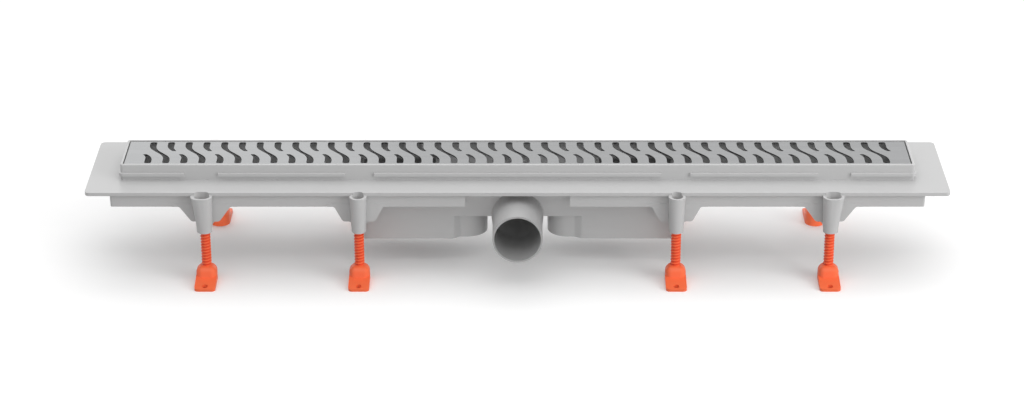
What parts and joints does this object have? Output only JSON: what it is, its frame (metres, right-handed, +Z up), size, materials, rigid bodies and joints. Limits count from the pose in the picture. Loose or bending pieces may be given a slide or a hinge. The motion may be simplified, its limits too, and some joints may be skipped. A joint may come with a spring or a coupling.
{
  "type": "channel drain",
  "caption": "Linear shower channel drain: long moulded channel with tiling flange, slotted grate, central trap with horizontal outlet spigot, and screw feet.",
  "frame": {"origin": "on the floor, at the centre of the drain's footprint", "axes": "+X along the channel, -Y along the outlet spigot towards the drain pipe, +Z up"},
  "size_m": [0.865, 0.1948, 0.11],
  "materials": {
    "body_plastic": "fine satin moulded light grey",
    "grate_steel": "brushed stainless",
    "insert_plastic": "satin moulded light grey",
    "seal_rubber": "matt black",
    "leg_plastic": "satin moulded orange"
  },
  "bodies": {
    "channel": {"channel_body": "body_plastic", "trap_housing": "body_plastic", "outlet_pipe": "body_plastic", "baffle_left": "body_plastic", "baffle_right": "body_plastic", "grate": "grate_steel", "insert_seal": "seal_rubber", "trap_insert": "insert_plastic"},
    "leg_front_outer_left": {"foot_front_outer_left": "leg_plastic"},
    "screw_front_outer_left": {"rod_front_outer_left": "leg_plastic"},
    "leg_front_outer_right": {"foot_front_outer_right": "leg_plastic"},
    "screw_front_outer_right": {"rod_front_outer_right": "leg_plastic"},
    "leg_front_inner_left": {"foot_front_inner_left": "leg_plastic"},
    "screw_front_inner_left": {"rod_front_inner_left": "leg_plastic"},
    "leg_front_inner_right": {"foot_front_inner_right": "leg_plastic"},
    "screw_front_inner_right": {"rod_front_inner_right": "leg_plastic"},
    "leg_rear_outer_left": {"foot_rear_outer_left": "leg_plastic"},
    "screw_rear_outer_left": {"rod_rear_outer_left": "leg_plastic"},
    "leg_rear_outer_right": {"foot_rear_outer_right": "leg_plastic"},
    "screw_rear_outer_right": {"rod_rear_outer_right": "leg_plastic"},
    "leg_rear_inner_left": {"foot_rear_inner_left": "leg_plastic"},
    "screw_rear_inner_left": {"rod_rear_inner_left": "leg_plastic"},
    "leg_rear_inner_right": {"foot_rear_inner_right": "leg_plastic"},
    "screw_rear_inner_right": {"rod_rear_inner_right": "leg_plastic"}
  },
  "joints": [
    {"name": "height_front_outer_left", "type": "slide", "parent": "channel", "child": "leg_front_outer_left", "axis": [0, 0, 1], "range_m": [-0.014, 0.02]},
    {"name": "turn_front_outer_left", "type": "hinge", "parent": "leg_front_outer_left", "child": "screw_front_outer_left", "pos_m": [-0.3132, -0.0674, 0.03], "axis": [0, 0, 1], "range_deg": [-1560, 2220]},
    {"name": "height_front_outer_right", "type": "slide", "parent": "channel", "child": "leg_front_outer_right", "axis": [0, 0, 1], "range_m": [-0.014, 0.02]},
    {"name": "turn_front_outer_right", "type": "hinge", "parent": "leg_front_outer_right", "child": "screw_front_outer_right", "pos_m": [0.3132, -0.0674, 0.03], "axis": [0, 0, 1], "range_deg": [-1560, 2220]},
    {"name": "height_front_inner_left", "type": "slide", "parent": "channel", "child": "leg_front_inner_left", "axis": [0, 0, 1], "range_m": [-0.014, 0.02]},
    {"name": "turn_front_inner_left", "type": "hinge", "parent": "leg_front_inner_left", "child": "screw_front_inner_left", "pos_m": [-0.15915, -0.0674, 0.03], "axis": [0, 0, 1], "range_deg": [-1560, 2220]},
    {"name": "height_front_inner_right", "type": "slide", "parent": "channel", "child": "leg_front_inner_right", "axis": [0, 0, 1], "range_m": [-0.014, 0.02]},
    {"name": "turn_front_inner_right", "type": "hinge", "parent": "leg_front_inner_right", "child": "screw_front_inner_right", "pos_m": [0.15915, -0.0674, 0.03], "axis": [0, 0, 1], "range_deg": [-1560, 2220]},
    {"name": "height_rear_outer_left", "type": "slide", "parent": "channel", "child": "leg_rear_outer_left", "axis": [0, 0, 1], "range_m": [-0.014, 0.02]},
    {"name": "turn_rear_outer_left", "type": "hinge", "parent": "leg_rear_outer_left", "child": "screw_rear_outer_left", "pos_m": [-0.3132, 0.0674, 0.03], "axis": [0, 0, 1], "range_deg": [-1560, 2220]},
    {"name": "height_rear_outer_right", "type": "slide", "parent": "channel", "child": "leg_rear_outer_right", "axis": [0, 0, 1], "range_m": [-0.014, 0.02]},
    {"name": "turn_rear_outer_right", "type": "hinge", "parent": "leg_rear_outer_right", "child": "screw_rear_outer_right", "pos_m": [0.3132, 0.0674, 0.03], "axis": [0, 0, 1], "range_deg": [-1560, 2220]},
    {"name": "height_rear_inner_left", "type": "slide", "parent": "channel", "child": "leg_rear_inner_left", "axis": [0, 0, 1], "range_m": [-0.014, 0.02]},
    {"name": "turn_rear_inner_left", "type": "hinge", "parent": "leg_rear_inner_left", "child": "screw_rear_inner_left", "pos_m": [-0.15915, 0.0674, 0.03], "axis": [0, 0, 1], "range_deg": [-1560, 2220]},
    {"name": "height_rear_inner_right", "type": "slide", "parent": "channel", "child": "leg_rear_inner_right", "axis": [0, 0, 1], "range_m": [-0.014, 0.02]},
    {"name": "turn_rear_inner_right", "type": "hinge", "parent": "leg_rear_inner_right", "child": "screw_rear_inner_right", "pos_m": [0.15915, 0.0674, 0.03], "axis": [0, 0, 1], "range_deg": [-1560, 2220]}
  ],
  "couplings": [
    {"joint": "turn_front_outer_left", "follows": "height_front_outer_left", "rad_per_m": 1933.3},
    {"joint": "turn_front_outer_right", "follows": "height_front_outer_right", "rad_per_m": 1933.3},
    {"joint": "turn_front_inner_left", "follows": "height_front_inner_left", "rad_per_m": 1933.3},
    {"joint": "turn_front_inner_right", "follows": "height_front_inner_right", "rad_per_m": 1933.3},
    {"joint": "turn_rear_outer_left", "follows": "height_rear_outer_left", "rad_per_m": 1933.3},
    {"joint": "turn_rear_outer_right", "follows": "height_rear_outer_right", "rad_per_m": 1933.3},
    {"joint": "turn_rear_inner_left", "follows": "height_rear_inner_left", "rad_per_m": 1933.3},
    {"joint": "turn_rear_inner_right", "follows": "height_rear_inner_right", "rad_per_m": 1933.3}
  ]
}
